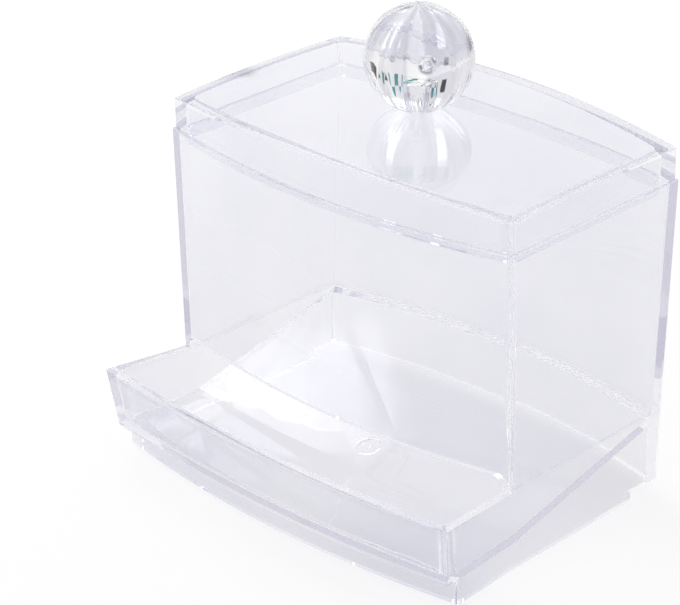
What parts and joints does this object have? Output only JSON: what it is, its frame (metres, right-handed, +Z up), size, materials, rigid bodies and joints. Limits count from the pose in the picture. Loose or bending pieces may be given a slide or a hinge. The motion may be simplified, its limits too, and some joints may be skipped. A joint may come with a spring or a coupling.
{
  "type": "cotton swab holder",
  "caption": "Clear plastic cotton swab dispenser: a bowed box on a base with an open front tray and an inner ramp, closed by a lift-off lid with a ball knob.",
  "frame": {"origin": "middle of the holder's footprint, at the height it stands on", "axes": "+Z up; -Y out of the tray towards the user; +X to the right of someone facing the tray"},
  "size_m": [0.0956, 0.0754, 0.0988],
  "materials": {
    "base_plastic": "clear, polished",
    "box_plastic": "clear, polished",
    "lid_plastic": "clear, polished",
    "knob_plastic": "clear, polished"
  },
  "bodies": {
    "holder": {"base_tray": "base_plastic", "box_walls": "box_plastic"},
    "lid": {"lid_cover": "lid_plastic", "ball_knob": "knob_plastic"}
  },
  "joints": [
    {"name": "lid_lift", "type": "slide", "parent": "holder", "child": "lid", "axis": [0, 0, 1], "range_m": [0, 0.06]}
  ]
}
